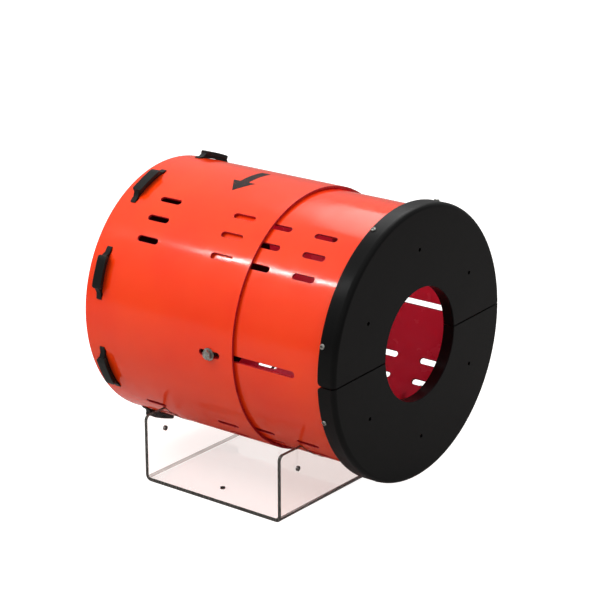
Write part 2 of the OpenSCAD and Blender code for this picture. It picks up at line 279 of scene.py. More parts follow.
def new_material(name, surface):
    """A node material. surface(tree, place, colours) adds its nodes, with place in the object's own
    coordinates, and gives the shader that the output shows."""
    material = bpy.data.materials.new(name)
    material.use_nodes = True
    tree = material.node_tree
    tree.nodes.clear()
    place = add(tree, "ShaderNodeTexCoord").outputs["Object"]
    shader = surface(tree, place, bpy.context.scene.guard_finish)
    add(tree, "ShaderNodeOutputMaterial", {"Surface": shader.outputs[0]})
    return material


def patches(tree, place, size_mm, detail=3.0, stretch=(1, 1, 1)):
    """Soft noise whose patches are about size_mm across."""
    mapped = add(tree, "ShaderNodeMapping", {"Vector": place, "Scale": stretch})
    return add(tree, "ShaderNodeTexNoise", {
        "Vector": mapped.outputs["Vector"], "Scale": 1000 / size_mm, "Detail": detail,
    }).outputs["Fac"]


def spread(tree, value, low=0.0, high=1.0):
    """Maps the middle of a noise value on to the range from low to high."""
    return add(tree, "ShaderNodeMapRange", {
        "Value": value, "From Min": 0.3, "From Max": 0.7, "To Min": low, "To Max": high,
    }).outputs["Result"]


def tint(tree, factor, dark, light):
    """A colour between two hex colours."""
    return add(tree, "ShaderNodeMix", {
        "Factor": factor, "A": linear(dark), "B": linear(light),
    }, data_type="RGBA").outputs["Result"]


def bumped(tree, height, distance_mm, strength=1.0, below=None):
    """A normal that carries a height of up to distance_mm."""
    sockets = {"Height": height, "Distance": distance_mm * MM, "Strength": strength}
    if below is not None:
        sockets["Normal"] = below
    return add(tree, "ShaderNodeBump", sockets).outputs["Normal"]


def rolled_polyethylene(tree, place, colours):
    """Extruded polyethylene sheet, rolled. It is glossy with a soft ripple, fine haze scratches and
    a little light inside it, which makes shaded edges glow deep orange."""
    broad = patches(tree, place, 90, 2.0)
    base = tint(tree, spread(tree, broad), "#F0380C", colours.orange)
    # Die lines of the extruder run round the shell. Real ones are finer than the render can show.
    lines = patches(tree, place, 3.0, 2.0, (1.0, 0.04, 0.04))
    haze = patches(tree, place, 24, 4.0)
    rough = add(tree, "ShaderNodeMath", {
        0: spread(tree, haze, 0.10, 0.17), 1: spread(tree, lines, -0.015, 0.02),
    }, operation="ADD").outputs[0]
    pebble = patches(tree, place, 5.5, 2.0)
    ripple = bumped(tree, patches(tree, place, 75, 1.0), 0.6)
    normal = bumped(tree, lines, 0.010, 1.0, bumped(tree, pebble, 0.03, 1.0, ripple))
    return add(tree, "ShaderNodeBsdfPrincipled", {
        "Base Color": base, "Roughness": rough, "Normal": normal, "IOR": 1.51,
        "Subsurface Weight": 0.22, "Subsurface Radius": (1.0, 0.16, 0.04), "Subsurface Scale": 0.004,
    })


def polyethylene_inside_painted_shade(tree, place, colours):
    """The inner side of the rolled sheet. Daylight comes through the thin sheet, and only its red
    gets far, so the inside of the guard glows a deep crimson."""
    haze = patches(tree, place, 30, 3.0)
    broad = patches(tree, place, 60, 2.0)
    return add(tree, "ShaderNodeBsdfPrincipled", {
        "Base Color": tint(tree, spread(tree, broad), "#EE3A50", colours.orange_inside_painted_shade),
        "Roughness": spread(tree, haze, 0.2, 0.3), "IOR": 1.51,
        "Subsurface Weight": 0.95, "Subsurface Radius": (1.0, 0.5, 0.6), "Subsurface Scale": 0.016,
        "Normal": bumped(tree, haze, 0.05),
    })


def polyethylene_edge_painted_shade(tree, place, colours):
    """The sawn and scraped edges of the rolled sheet. The eye looks along the sheet there, into
    its depth, so they are a darker crimson than its faces, with fine saw marks."""
    saw = patches(tree, place, 2.5, 3.0, (1.0, 1.0, 0.3))
    return add(tree, "ShaderNodeBsdfPrincipled", {
        "Base Color": tint(tree, spread(tree, saw), "#A01216", colours.edge),
        "Roughness": spread(tree, saw, 0.26, 0.36), "IOR": 1.51, "Specular IOR Level": 0.35,
        "Normal": bumped(tree, saw, 0.02),
    })


def routed_polyethylene(tree, place, colours):
    """Black polyethylene plate, routed to shape. The skin is satin with a fine leather grain, and it
    greys a little where it has been handled."""
    wear = patches(tree, place, 70, 5.0)
    base = tint(tree, spread(tree, wear), "#040404", colours.black)
    grain = add(tree, "ShaderNodeTexVoronoi", {"Vector": place, "Scale": 1000 / 1.6},
                feature="SMOOTH_F1").outputs["Distance"]
    scuffs = patches(tree, place, 2.5, 3.0, (1.0, 1.0, 0.12))
    normal = bumped(tree, grain, 0.05, 0.6, bumped(tree, scuffs, 0.02))
    return add(tree, "ShaderNodeBsdfPrincipled", {
        "Base Color": base, "Roughness": spread(tree, wear, 0.30, 0.42), "Normal": normal,
        "IOR": 1.5, "Specular IOR Level": 0.14,
    })


def moulded_nylon(tree, place, colours):
    """Black moulded nylon. It has a fine spark-eroded grain, and rubs lighter on its edges."""
    edge = add(tree, "ShaderNodeNewGeometry").outputs["Pointiness"]
    worn = add(tree, "ShaderNodeMapRange", {
        "Value": edge, "From Min": 0.52, "From Max": 0.60, "To Min": 0.0, "To Max": 0.8,
    }).outputs["Result"]
    base = tint(tree, worn, colours.clip_black, "#262826")
    grain = patches(tree, place, 0.9, 4.0)
    return add(tree, "ShaderNodeBsdfPrincipled", {
        "Base Color": base, "Roughness": spread(tree, grain, 0.34, 0.5), "IOR": 1.53,
        "Specular IOR Level": 0.2, "Normal": bumped(tree, grain, 0.05, 0.7),
    })


def zinc_plate(tree, place, colours):
    """Bright zinc-plated steel. It has a cold silver colour with cloudy patches from the plating."""
    cloud = patches(tree, place, 3.0, 4.0)
    base = tint(tree, spread(tree, cloud), "#7C7D78", colours.zinc)
    return add(tree, "ShaderNodeBsdfPrincipled", {
        "Base Color": base, "Metallic": 1.0, "Roughness": spread(tree, cloud, 0.2, 0.36),
        "Normal": bumped(tree, patches(tree, place, 0.7, 2.0), 0.012),
    })


def clear_acrylic(tree, place, colours):
    """Clear cast acrylic sheet. It is polished, and faint smears of handling break its gloss. Light
    for other surfaces passes straight through it, so it throws no dark shadow."""
    smear = patches(tree, place, 40, 5.0, (1.0, 0.4, 1.0))
    shader = add(tree, "ShaderNodeBsdfPrincipled", {
        "Base Color": linear(colours.clear), "Roughness": spread(tree, smear, 0.0, 0.04),
        "IOR": 1.49, "Transmission Weight": 1.0,
        "Normal": bumped(tree, patches(tree, place, 60, 1.0), 0.03),
    })
    rays = add(tree, "ShaderNodeLightPath").outputs
    passes = add(tree, "ShaderNodeMath", {
        0: rays["Is Shadow Ray"], 1: rays["Is Diffuse Ray"]}, operation="MAXIMUM").outputs[0]
    open_air = add(tree, "ShaderNodeBsdfTransparent")
    return add(tree, "ShaderNodeMixShader", {
        0: passes, 1: shader.outputs["BSDF"], 2: open_air.outputs["BSDF"]})


def acrylic_bend_painted_shade(tree, place, colours):
    """The heated strips where the acrylic is bent. They bend the view of darker things into the
    eye and are a little hazy, so each bend draws a thin grey line."""
    haze = patches(tree, place, 6, 3.0, (1.0, 0.2, 1.0))
    return add(tree, "ShaderNodeBsdfPrincipled", {
        "Base Color": tint(tree, spread(tree, haze), "#8E8783", colours.bend),
        "Roughness": spread(tree, haze, 0.05, 0.15), "IOR": 1.49, "Transmission Weight": 0.8,
        "Normal": bumped(tree, haze, 0.02),
    })


def acrylic_edge_painted_shade(tree, place, colours):
    """The sawn and buffed edge of the acrylic. Light is trapped along the sheet and little of it
    leaves here towards the eye, so the edge draws a dark grey line round the bracket."""
    saw = patches(tree, place, 1.2, 2.0, (1.0, 1.0, 0.2))
    base = tint(tree, spread(tree, saw), colours.clear_edge_painted_shade, "#57554F")
    return add(tree, "ShaderNodeBsdfPrincipled", {
        "Base Color": base, "Roughness": spread(tree, saw, 0.16, 0.34), "IOR": 1.49,
        "Transmission Weight": 0.15, "Normal": bumped(tree, saw, 0.02),
    })


def printing_ink(tree, place, colours):
    """Black screen ink. It is thin and slightly broken, so specks of the sheet show in it."""
    specks = patches(tree, place, 1.6, 4.0)
    base = tint(tree, add(tree, "ShaderNodeMapRange", {
        "Value": specks, "From Min": 0.60, "From Max": 0.66,
    }).outputs["Result"], colours.ink, "#7A2A1A")
    return add(tree, "ShaderNodeBsdfPrincipled", {
        "Base Color": base, "Roughness": spread(tree, specks, 0.3, 0.45), "IOR": 1.5,
        "Specular IOR Level": 0.15,
        "Normal": bumped(tree, specks, 0.01),
    })


FINISHES = {
    "shell_orange": ("Rolled_Polyethylene_Orange", rolled_polyethylene),
    # The inside finish carries painted shade in its crimson-pink tint
    "shell_inside_painted_shade": ("Rolled_Polyethylene_Inside_Painted_Shade", polyethylene_inside_painted_shade),
    # The edge finish carries painted shade in its darker crimson
    "shell_edge_painted_shade": ("Rolled_Polyethylene_Edge_Painted_Shade", polyethylene_edge_painted_shade),
    "plate_black": ("Routed_Polyethylene_Black", routed_polyethylene),
    "clip_black": ("Moulded_Nylon_Black", moulded_nylon),
    "zinc_hardware": ("Zinc_Plated_Steel", zinc_plate),
    "clear_acrylic": ("Cast_Acrylic_Clear", clear_acrylic),
    # The acrylic edge finish carries painted shade in its dark grey
    "acrylic_edge_painted_shade": ("Cast_Acrylic_Edge_Painted_Shade", acrylic_edge_painted_shade),
    # The bend finish carries painted shade in its grey tint
    "acrylic_bend_painted_shade": ("Cast_Acrylic_Bend_Painted_Shade", acrylic_bend_painted_shade),
    "ink": ("Screen_Ink_Black", printing_ink),
}
# The inner-face and cut-edge finishes both carry painted shade in their tints
SHELL_SIDES = ("shell_inside_painted_shade", "shell_edge_painted_shade")
made_finishes = {}


def finish_named(name):
    """The material for a finish, made once."""
    if name not in made_finishes:
        made_finishes[name] = new_material(*FINISHES[name])
    return made_finishes[name]


# ---------------------------------------------------------------- sheet work


def slot_outline(u, v, length, width, steps=8):
    """A slot with round ends, long in v, as points in order."""
    radius, reach = width / 2, (length - width) / 2
    points = []
    for end, start in ((1, 0.0), (-1, math.pi)):
        for i in range(steps + 1):
            angle = start + math.pi * i / steps
            points.append((u + radius * math.cos(angle), v + end * reach + radius * math.sin(angle)))
    return points


def hole_outline(u, v, radius, steps=32):
    return [(u + radius * math.cos(2 * math.pi * i / steps),
             v + radius * math.sin(2 * math.pi * i / steps)) for i in range(steps)]


def inside(point, outline):
    """True if a flat point lies inside an outline."""
    x, y = point
    found = False
    for (x0, y0), (x1, y1) in zip(outline, outline[1:] + outline[:1]):
        if (y0 > y) != (y1 > y) and x < x0 + (y - y0) * (x1 - x0) / (y1 - y0):
            found = not found
    return found


def cut_flat(outline, holes, lines_u, lines_v):
    """Cuts a flat blank: the faces inside outline and outside holes, divided along the lines."""
    points, edges = [], []
    for loop in [outline, *holes]:
        first = len(points)
        points += [Vector(p) for p in loop]
        edges += [(first + i, first + (i + 1) % len(loop)) for i in range(len(loop))]
    low = [min(p[k] for p in outline) for k in (0, 1)]
    high = [max(p[k] for p in outline) for k in (0, 1)]
    for u in lines_u:
        points += [Vector((u, low[1])), Vector((u, high[1]))]
        edges.append((len(points) - 2, len(points) - 1))
    for v in lines_v:
        points += [Vector((low[0], v)), Vector((high[0], v))]
        edges.append((len(points) - 2, len(points) - 1))
    flat, _, faces, *_ = delaunay_2d_cdt(points, edges, [], 4, 1e-7)
    kept = []
    for face in faces:
        corners = [Vector((*flat[i], 0)) for i in face]
        middle, best = None, 0.0
        for a, b, c in tessellate_polygon([corners]):
            area = abs((corners[b] - corners[a]).cross(corners[c] - corners[a]).z)
            if area > best:
                middle, best = (corners[a] + corners[b] + corners[c]) / 3, area
        if middle is None or not inside(middle.xy, outline):
            continue
        if not any(inside(middle.xy, hole) for hole in holes):
            kept.append(face)
    return flat, kept


def ease_and_form(flat, faces, thickness, ease, form, name, edge_slot=0, under_slot=0, segments=2):
    """Thickens a flat blank downwards, eases its rims, and forms it. form(u, v, w) gives the place
    of a point of the blank, with w from 0 on top to -thickness. The shading normals are those of the
    flat blank, turned as the sheet turns, so gloss runs smoothly over it."""
    bm = bmesh.new()
    top = [bm.verts.new((p.x, p.y, 0)) for p in flat]
    under = [bm.verts.new((p.x, p.y, -thickness)) for p in flat]
    side_count = {}
    for face in faces:
        bm.faces.new([top[i] for i in face]).material_index = 0
        bm.faces.new([under[i] for i in reversed(face)]).material_index = under_slot
        for a, b in zip(face, face[1:] + face[:1]):
            side_count[(a, b)] = side_count.get((a, b), 0) + 1
    rims = []
    for a, b in side_count:
        if (b, a) not in side_count:
            side = bm.faces.new([top[b], top[a], under[a], under[b]])
            side.material_index = edge_slot
            rims += [bm.edges.get((top[a], top[b])), bm.edges.get((under[a], under[b]))]
    for vert in [v for v in bm.verts if not v.link_faces]:
        bm.verts.remove(vert)
    plain = bm.faces.layers.int.new("plain")
    for face in bm.faces:
        face.normal_update()
        face[plain] = 1 if abs(face.normal.z) > 0.5 else 2
    made = bmesh.ops.bevel(
        bm, geom=rims, offset=ease, offset_type="OFFSET", segments=segments, profile=0.5,
        affect="EDGES", clamp_overlap=False, material=edge_slot,
    )
    for face in made["faces"]:
        face[plain] = 0
    for face in bm.faces:
        face.normal_update()
        face.smooth = True
    mesh = bpy.data.meshes.new(name)
    normals = flat_normals(bm, plain)
    step = 0.02 * MM
    turned = []
    frames = {}
    for vert in bm.verts:
        u, v, w = vert.co
        along_u = (form(u + step, v, w) - form(u - step, v, w)).normalized()
        along_v = (form(u, v + step, w) - form(u, v - step, w)).normalized()
        frames[vert.index] = (form(u, v, w), along_u, along_v, along_u.cross(along_v))
    for index, normal in normals:
        _, along_u, along_v, out = frames[index]
        turned.append((along_u * normal.x + along_v * normal.y + out * normal.z).normalized())
    for vert in bm.verts:
        vert.co = frames[vert.index][0]
    bm.to_mesh(mesh)
    bm.free()
    mesh.normals_split_custom_set(turned)
    piece = bpy.data.objects.new(name, mesh)
    bpy.context.scene.collection.objects.link(piece)
    return piece


def flat_normals(bm, plain):
    """(vertex index, normal) for each face corner: broad faces and sides stay true, and the eased
    rim between them blends from one to the other."""
    bm.verts.index_update()
    corners = []
    for face in bm.faces:
        kind = face[plain]
        for vert in face.verts:
            near = [f for f in vert.link_faces if f[plain] != 0]
            if kind == 0:
                group = near or list(vert.link_faces)
            else:
                group = [f for f in near if f[plain] == kind and f.normal.dot(face.normal) > 0.7]
            total = Vector((0, 0, 0))
            for other in group:
                total += other.normal
            corners.append((vert.index, total.normalized() if total.length > 0 else face.normal))
    return corners


def even_lines(low, high, step):
    """Places between low and high, no further apart than step, without the two ends."""
    count = max(1, math.ceil((high - low) / step - 1e-6))
    return [low + (high - low) * i / count for i in range(1, count)]


def filled_lines(low, high, fixed, step):
    """The fixed places, with even ones between them."""
    stops = [low, *sorted(x for x in fixed if low < x < high), high]
    lines = []
    for a, b in zip(stops, stops[1:]):
        lines += even_lines(a, b, step)
        lines.append(b)
    return lines[:-1]


def on_shell(x, r, angle):
    """A place on the guard at x, radius r and the guard's own angle."""
    return Vector((x, r * math.cos(angle + ROLL), AXIS_Z + r * math.sin(angle + ROLL)))


def about_shaft(angle, x=0.0):
    """Carries what is made at the origin, facing +Y, to the shaft's line at x and turns it."""
    return Matrix.Translation((x, 0, AXIS_Z)) @ Matrix.Rotation(angle + ROLL, 4, "X")


def clip_angles(clip):
    return [2 * math.pi * (i + 0.5) / clip.count for i in range(clip.count)]


def leg_reach(clip):
    """From a clip's middle across to the middle of each leg."""
    return clip.base / 2 - clip.leg_inset - clip.leg / 2


def rolled_shell(name, low_x, high_x, radius, vents, clamp, leg_slots=(), seed=0.0):
    """A shell rolled from sheet. vents are the middles of its columns of slots, clamp is the
    (low, high) of its clamp slots, and leg_slots are (angle, distance across, half width, low x,
    high x) for the clips' legs. seed varies its ripple."""
    shell = bpy.context.scene.guard_shell
    around = 2 * math.pi * radius
    gap = shell.peel_gap / 2
    length = high_x - low_x
    outline = [(gap, 0), (around - gap, 0), (around - gap, length), (gap, length)]
    holes, lines_u, lines_v = [], [], []

    def place(angle):
        return (angle + math.pi / 2) % (2 * math.pi) * radius

    for middle, clamp_angle, first in ((NEAR, NEAR, shell.near_first), (0.0, FAR, shell.far_first)):
        for side in (-1, 1):
            for row in range(shell.vent_rows):
                u = place(middle + side * (first + row * shell.vent_step))
                lines_u += [u - shell.vent_width / 2, u + shell.vent_width / 2]
                holes += [slot_outline(u, x - low_x, shell.vent_length, shell.vent_width) for x in vents]
        u = place(clamp_angle)
        width = shell.clamp_slot_width
        lines_u += [u - width / 2, u + width / 2]
        holes.append(slot_outline(u, sum(clamp) / 2 - low_x, clamp[1] - clamp[0], width))
    for x in vents:
        reach = (shell.vent_length - shell.vent_width) / 2
        lines_v += [x - low_x - reach, x - low_x + reach]
    for angle, across, half, low, high in leg_slots:
        left, right = place(angle) + across - half, place(angle) + across + half
        holes.append([(left, low - low_x), (right, low - low_x), (right, high - low_x),
                      (left, high - low_x)])
        lines_u += [left, right]
    step_round, step_along = 7 * MM, 14 * MM
    flat, faces = cut_flat(outline, holes, filled_lines(gap, around - gap, lines_u, step_round),
                           filled_lines(0, length, lines_v, step_along))

    def form(u, v, w):
        angle = u / radius - math.pi / 2
        across, up = math.cos(angle), math.sin(angle)
        wave = sum(share * noise.noise(Vector((across * cells, up * cells, v * along + seed)))
                   for share, cells, along in WAVES)
        # The ripple stays inside the radius that the frame gives
        r = radius + w + shell.ripple * wave * 0.5 - shell.ripple * 0.4
        return on_shell(low_x + v, r, angle)

    return ease_and_form(flat, faces, shell.sheet, shell.rim_ease, form, name, edge_slot=2, under_slot=1)


def finish_piece(piece, slot, body, replaces=(), extra=()):
    """Gives a piece its finish, slot, body and the CAD nodes that it stands for."""
    piece.data.materials.append(finish_named(slot))
    for other in extra:
        piece.data.materials.append(finish_named(other))
    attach(piece, body)
    if replaces:
        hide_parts(*replaces)
    return piece


# ---------------------------------------------------------------- turned work


def turned_mesh(bm, profile, angles, place, closed_profile=True):
    """Sweeps a profile of (radius, height) points through the angles. place(r, h, angle) puts a
    point. profile may be a function of the angle."""
    rings = []
    for angle in angles:
        points = profile(angle) if callable(profile) else profile
        rings.append([bm.verts.new(place(r, h, angle)) for r, h in points])
    count = len(rings[0])
    for ring, following in zip(rings, rings[1:]):
        for i in range(count if closed_profile else count - 1):
            k = (i + 1) % count
            bm.faces.new([ring[i], ring[k], following[k], following[i]])
    return rings


def arc(centre, radius, start, end, steps):
    """Points along an arc, with its angles in degrees."""
    return [(centre[0] + radius * math.cos(math.radians(start + (end - start) * i / steps)),
             centre[1] + radius * math.sin(math.radians(start + (end - start) * i / steps)))
            for i in range(steps + 1)]


def object_from(bm, name):
    bmesh.ops.recalc_face_normals(bm, faces=bm.faces)
    for face in bm.faces:
        face.smooth = True
    mesh = bpy.data.meshes.new(name)
    bm.to_mesh(mesh)
    bm.free()
    piece = bpy.data.objects.new(name, mesh)
    bpy.context.scene.collection.objects.link(piece)
    return piece


def settle(piece, *modifiers):
    """Adds modifiers as (type, settings), then makes their result the piece's own mesh."""
    for kind, settings in modifiers:
        modifier = piece.modifiers.new(kind.title(), kind)
        for key, value in settings.items():
            setattr(modifier, key, value)
    graph = bpy.context.evaluated_depsgraph_get()
    mesh = bpy.data.meshes.new_from_object(piece.evaluated_get(graph))
    old = piece.data
    piece.modifiers.clear()
    piece.data = mesh
    bpy.data.meshes.remove(old)
    mesh.name = piece.name
    return piece


def cut(piece, tools, operation="DIFFERENCE"):
    """Cuts the tools out of a piece, or keeps only what it shares with them, and removes them."""
    settle(piece, *[("BOOLEAN", {"object": tool, "operation": operation, "solver": "EXACT"})
                    for tool in tools])
    for tool in tools:
        bpy.data.objects.remove(tool)
    return piece


def joined(name, first, *others):
    """Joins the others on to the first piece, under a new name."""
    bpy.ops.object.select_all(action="DESELECT")
    for piece in (first, *others):
        piece.select_set(True)
    bpy.context.view_layer.objects.active = first
    bpy.ops.object.join()
    first.name = first.data.name = name
    return first


def lathed(name, profile, place, sides=40):
    """A round piece, turned from an open profile that starts and ends on its axis or closes."""
    bm = bmesh.new()
    turned_mesh(bm, profile, [2 * math.pi * k / sides for k in range(sides + 1)], place, False)
    bmesh.ops.remove_doubles(bm, verts=bm.verts, dist=1e-7)
    return object_from(bm, name)


def thread(radius, root, start, stop, pitch):
    """A thread's profile from start to before stop, as rings with a root at that share of the
    radius, and the height at which it ends."""
    points, level = [], start
    while level + pitch < stop:
        points += [(radius * root, level), (radius, level + pitch / 2)]
        level += pitch
    return points, level


def eased(width, segments, limit):
    return ("BEVEL", {
        "width": width, "segments": segments, "limit_method": "ANGLE",
        "angle_limit": math.radians(limit), "harden_normals": False, "use_clamp_overlap": True,
    })


WEIGHTED = ("WEIGHTED_NORMAL", {"keep_sharp": True, "weight": 80})
HEX_EASE = eased(0.2 * MM, 2, 25)


def half_disc(name, profile, start, holes, ends=()):
    """Half a disc, turned from a profile and cut square at the split. ends are extra distances from
    the split at which the profile changes."""
    half_split = bpy.context.scene.guard_plate.split / 2
    first = math.asin(half_split / PLATE_R)
    steps = 72
    *near_split, last = [first + end / PLATE_R for end in (0, *ends)]
    angles = [*near_split, *[last + (math.pi - 2 * last) * i / steps for i in range(steps + 1)],
              *[math.pi - a for a in reversed(near_split)]]

    def place(r, h, angle):
        # The cut faces are flat: points at the split lie at half the gap, whatever their radius
        point = Vector((h, r * math.cos(angle), r * math.sin(angle)))
        if min(angle, math.pi - angle) < first + 1e-6:
            point.z = half_split
            point.y = math.copysign(math.sqrt(r * r - point.z * point.z), point.y)
        turned = Matrix.Rotation(start + ROLL, 3, "X") @ point
        return turned + Vector((0, 0, AXIS_Z))

    bm = bmesh.new()
    rings = turned_mesh(bm, profile, angles, place)
    bm.faces.new(rings[0])
    bm.faces.new(list(reversed(rings[-1])))
    return cut(object_from(bm, name), holes)


def round_bar(name, low, high, radius, sides=40):
    """A plain bar between two points, used as a drill."""
    axis = (high - low).normalized()
    bm = bmesh.new()
    bmesh.ops.create_cone(
        bm, cap_ends=True, segments=sides, radius1=radius, radius2=radius, depth=(high - low).length,
        matrix=Matrix.Translation((low + high) / 2) @ axis.to_track_quat("Z", "Y").to_matrix().to_4x4(),
    )
    return object_from(bm, name)


# ---------------------------------------------------------------- pieces


class GUARD_OT_shells(bpy.types.Operator):
    """Roll the outer and the inner shell from sheet"""

    bl_idname = "guard.shells"
    bl_label = "Shells"

    def execute(self, context):
        shell, clip = context.scene.guard_shell, context.scene.guard_clip
        clamp_x, reach = middle_x("clamp_bolt_near"), leg_reach(clip)
        half_across, half_along = clip.leg / 2 + PLAY, clip.rib / 2 + PLAY
        leg_slots = [(angle, side * reach, half_across, CLIP_X - half_along, CLIP_X + half_along)
                     for angle in clip_angles(clip) for side in (-1, 1)]
        outer = rolled_shell(
            "Outer_Shell", OUTER_LOW.x, OUTER_HIGH.x, OUTER_R,
            [OUTER_LOW.x + shell.outer_rear, OUTER_HIGH.x - shell.outer_front],
            (clamp_x - shell.short_slot / 2, clamp_x + shell.short_slot / 2), leg_slots,
        )
        finish_piece(outer, "shell_orange", "rear_section", ["outer_shell"], SHELL_SIDES)
        inner = rolled_shell(
            "Inner_Shell", INNER_LOW.x, INNER_HIGH.x, INNER_R,
            [INNER_HIGH.x - shell.inner_front, INNER_HIGH.x - shell.inner_front - shell.inner_pitch],
            (INNER_LOW.x + shell.long_slot_rear, INNER_HIGH.x - shell.long_slot_front), seed=5.0,
        )
        finish_piece(inner, "shell_orange", "front_section", ["inner_shell"], SHELL_SIDES)
        return {"FINISHED"}


class GUARD_OT_front_plates(bpy.types.Operator):
    """Turn the two halves of the front plate, with their lip and face holes"""

    bl_idname = "guard.front_plates"
    bl_label = "Front plates"

    def execute(self, context):
        plate = context.scene.guard_plate
        hole_r, ease, rounding = plate.shaft_hole / 2, plate.edge_ease, plate.front_round
        lip_r = INNER_R + plate.lip_play
        face_x, rear_x = PLATE_HIGH.x, PLATE_LOW.x
        floor_x, past = face_x - plate.thickness, 5 * MM
        first = math.asin(plate.split / 2 / PLATE_R)

        def profile(angle):
            # The lip's rear corners are rounded where they meet the split
            from_split = (min(angle, math.pi - angle) - first) * PLATE_R
            short = plate.lip_corner - from_split
            cut = plate.lip_corner - math.sqrt(max(0.0, plate.lip_corner ** 2 - max(0.0, short) ** 2))
            lip_x = rear_x + cut
            return [
                (hole_r, floor_x + ease), *arc((hole_r + ease, face_x - ease), ease, 180, 90, 3),
                *arc((PLATE_R - rounding, face_x - rounding), rounding, 90, 0, 10),
                *arc((PLATE_R - ease, lip_x + ease), ease, 0, -90, 3),
                *arc((lip_r + ease, lip_x + ease), ease, -90, -180, 3),
                (lip_r, floor_x), *arc((hole_r + ease, floor_x + ease), ease, -90, -170, 3)[:-1],
            ]

        corner_steps = [plate.lip_corner * (1 - math.cos(math.radians(a))) for a in range(15, 91, 15)]
        for half, start in HALVES:
            drills = []
            for i in range(FACE_HOLES // 2):
                hole = plate.face_pitch_circle / 2, start + FIRST_FACE_HOLE + 2 * math.pi * i / FACE_HOLES
                drills.append(round_bar("Drill", on_shell(floor_x - past, *hole),
                                        on_shell(face_x + past, *hole), plate.face_hole / 2))
            piece = half_disc(f"Front_Plate_{half.title()}", profile, start, drills, corner_steps)
            settle(piece, eased(0.7 * MM, 2, 50), WEIGHTED)
            finish_piece(piece, "plate_black", "front_section", [f"front_plate_{half}"])
        return {"FINISHED"}


class GUARD_OT_rear_plates(bpy.types.Operator):
    """Turn the two halves of the rear plate"""

    bl_idname = "guard.rear_plates"
    bl_label = "Rear plates"

    def execute(self, context):
        plate, clip = context.scene.guard_plate, context.scene.guard_clip
        hole_r, ease = plate.shaft_hole / 2, plate.edge_ease
        profile = [
            *arc((hole_r + ease, REAR_LOW.x + ease), ease, 270, 180, 3),
            *arc((hole_r + ease, REAR_HIGH.x - ease), ease, 180, 90, 3),
            *arc((REAR_R - ease, REAR_HIGH.x - ease), ease, 90, 0, 3),
            *arc((REAR_R - ease, REAR_LOW.x + ease), ease, 0, -90, 3),
        ]
        room = Matrix.Diagonal((
            clip.rib + 2 * PLAY, 2 * (clip.leg_depth + PLAY), clip.leg + 2 * PLAY, 1))
        for half, start in HALVES:
            pockets = []
            for angle in clip_angles(clip)[:clip.count // 2]:
                for side in (-1, 1):
                    bm = bmesh.new()
                    centre = Matrix.Translation((CLIP_X, OUTER_R, side * leg_reach(clip)))
                    bmesh.ops.create_cube(bm, size=1.0, matrix=about_shaft(start + angle) @ centre @ room)
                    pockets.append(object_from(bm, "Pocket"))
            piece = half_disc(f"Rear_Plate_{half.title()}", profile, start, pockets)
            settle(piece, eased(0.6 * MM, 2, 50), WEIGHTED)
            finish_piece(piece, "plate_black", "rear_section", [f"rear_plate_{half}"])
        return {"FINISHED"}


class GUARD_OT_clips(bpy.types.Operator):
    """Mould the bridge clips that hold the rear plate"""

    bl_idname = "guard.clips"
    bl_label = "End clips"

    def execute(self, context):
        clip = context.scene.guard_clip
        for i, angle in enumerate(clip_angles(clip), 1):
            turn = about_shaft(angle)
            piece = joined(f"End_Clip_{i}", self.rib(clip, turn), self.pad(clip, turn))
            finish_piece(piece, "clip_black", "rear_section", [f"end_clip_{i}"])
        return {"FINISHED"}

    def rib_outline(self, clip):
        """The rib's outline, as (across, outwards) points, with an arched underside and two legs."""
        half, leg_out = clip.base / 2, clip.base / 2 - clip.leg_inset
        leg_in, shoulder = leg_out - clip.leg, clip.top / 2 + clip.foot
        tip, top_r = OUTER_R - clip.leg_depth, OUTER_R + clip.height
        point, blunt, inside_pad = 1.2 * MM, 1 * MM, 2.2 * MM
        neck_out, neck_down, ramp = 1.5 * MM, 5 * MM, 3 * MM

        def shell_at(across):
            return math.sqrt((OUTER_R + 0.05 * MM) ** 2 - across ** 2)

        right = [
            (clip.top / 2 - blunt, top_r - inside_pad), (clip.top / 2 + neck_out, top_r - neck_down),
            (shoulder + ramp, shell_at(shoulder) + clip.foot),
            (half - blunt, shell_at(half) + clip.foot), (half, shell_at(half) + clip.foot * 0.6),
            (half, shell_at(half)), (leg_out, shell_at(leg_out)), (leg_out, tip + point),
            (leg_out - point, tip), (leg_in + point, tip), (leg_in, tip + point),
            (leg_in, shell_at(leg_in)),
        ]
        reach = leg_in * 0.9
        arch = []
        for degrees in range(0, 181, 15):
            across = reach * math.cos(math.radians(degrees))
            arch.append((across, shell_at(across) + clip.arch * math.sin(math.radians(degrees))))
        return right + arch + [(-across, out) for across, out in reversed(right)]

    def pad(self, clip, turn):
        """The pad, with chamfered corners and a slight crown that falls faster at its ends."""
        half, wide, corner = clip.top / 2, clip.width / 2, clip.corner
        near = [(-half, -wide + corner), (-half + corner, -wide), (half - corner, -wide),
                (half, -wide + corner)]
        outline = near + [(u, -v) for u, v in reversed(near)]
        flat, faces = cut_flat(outline, [], even_lines(-half + corner, half - corner, 5 * MM), [])

        def form(u, v, w):
            end = max(0.0, abs(u) / half - 0.8) * 5
            dip = clip.crown * (u / half) ** 2 + clip.crown * end ** 2
            return turn @ Vector((CLIP_X + v, OUTER_R + clip.height + w - dip, u))

        return ease_and_form(flat, faces, clip.pad, clip.round, form, "Pad", segments=3)

    def rib(self, clip, turn):
        """The rib with its feet and legs, cut across the shaft, with moulded edges."""
        flat, faces = cut_flat(self.rib_outline(clip), [], [], [])

        def form(u, v, w):
            return turn @ Vector((CLIP_X - clip.rib / 2 - w, v, u))

        return ease_and_form(flat, faces, clip.rib, clip.round, form, "Rib", segments=3)


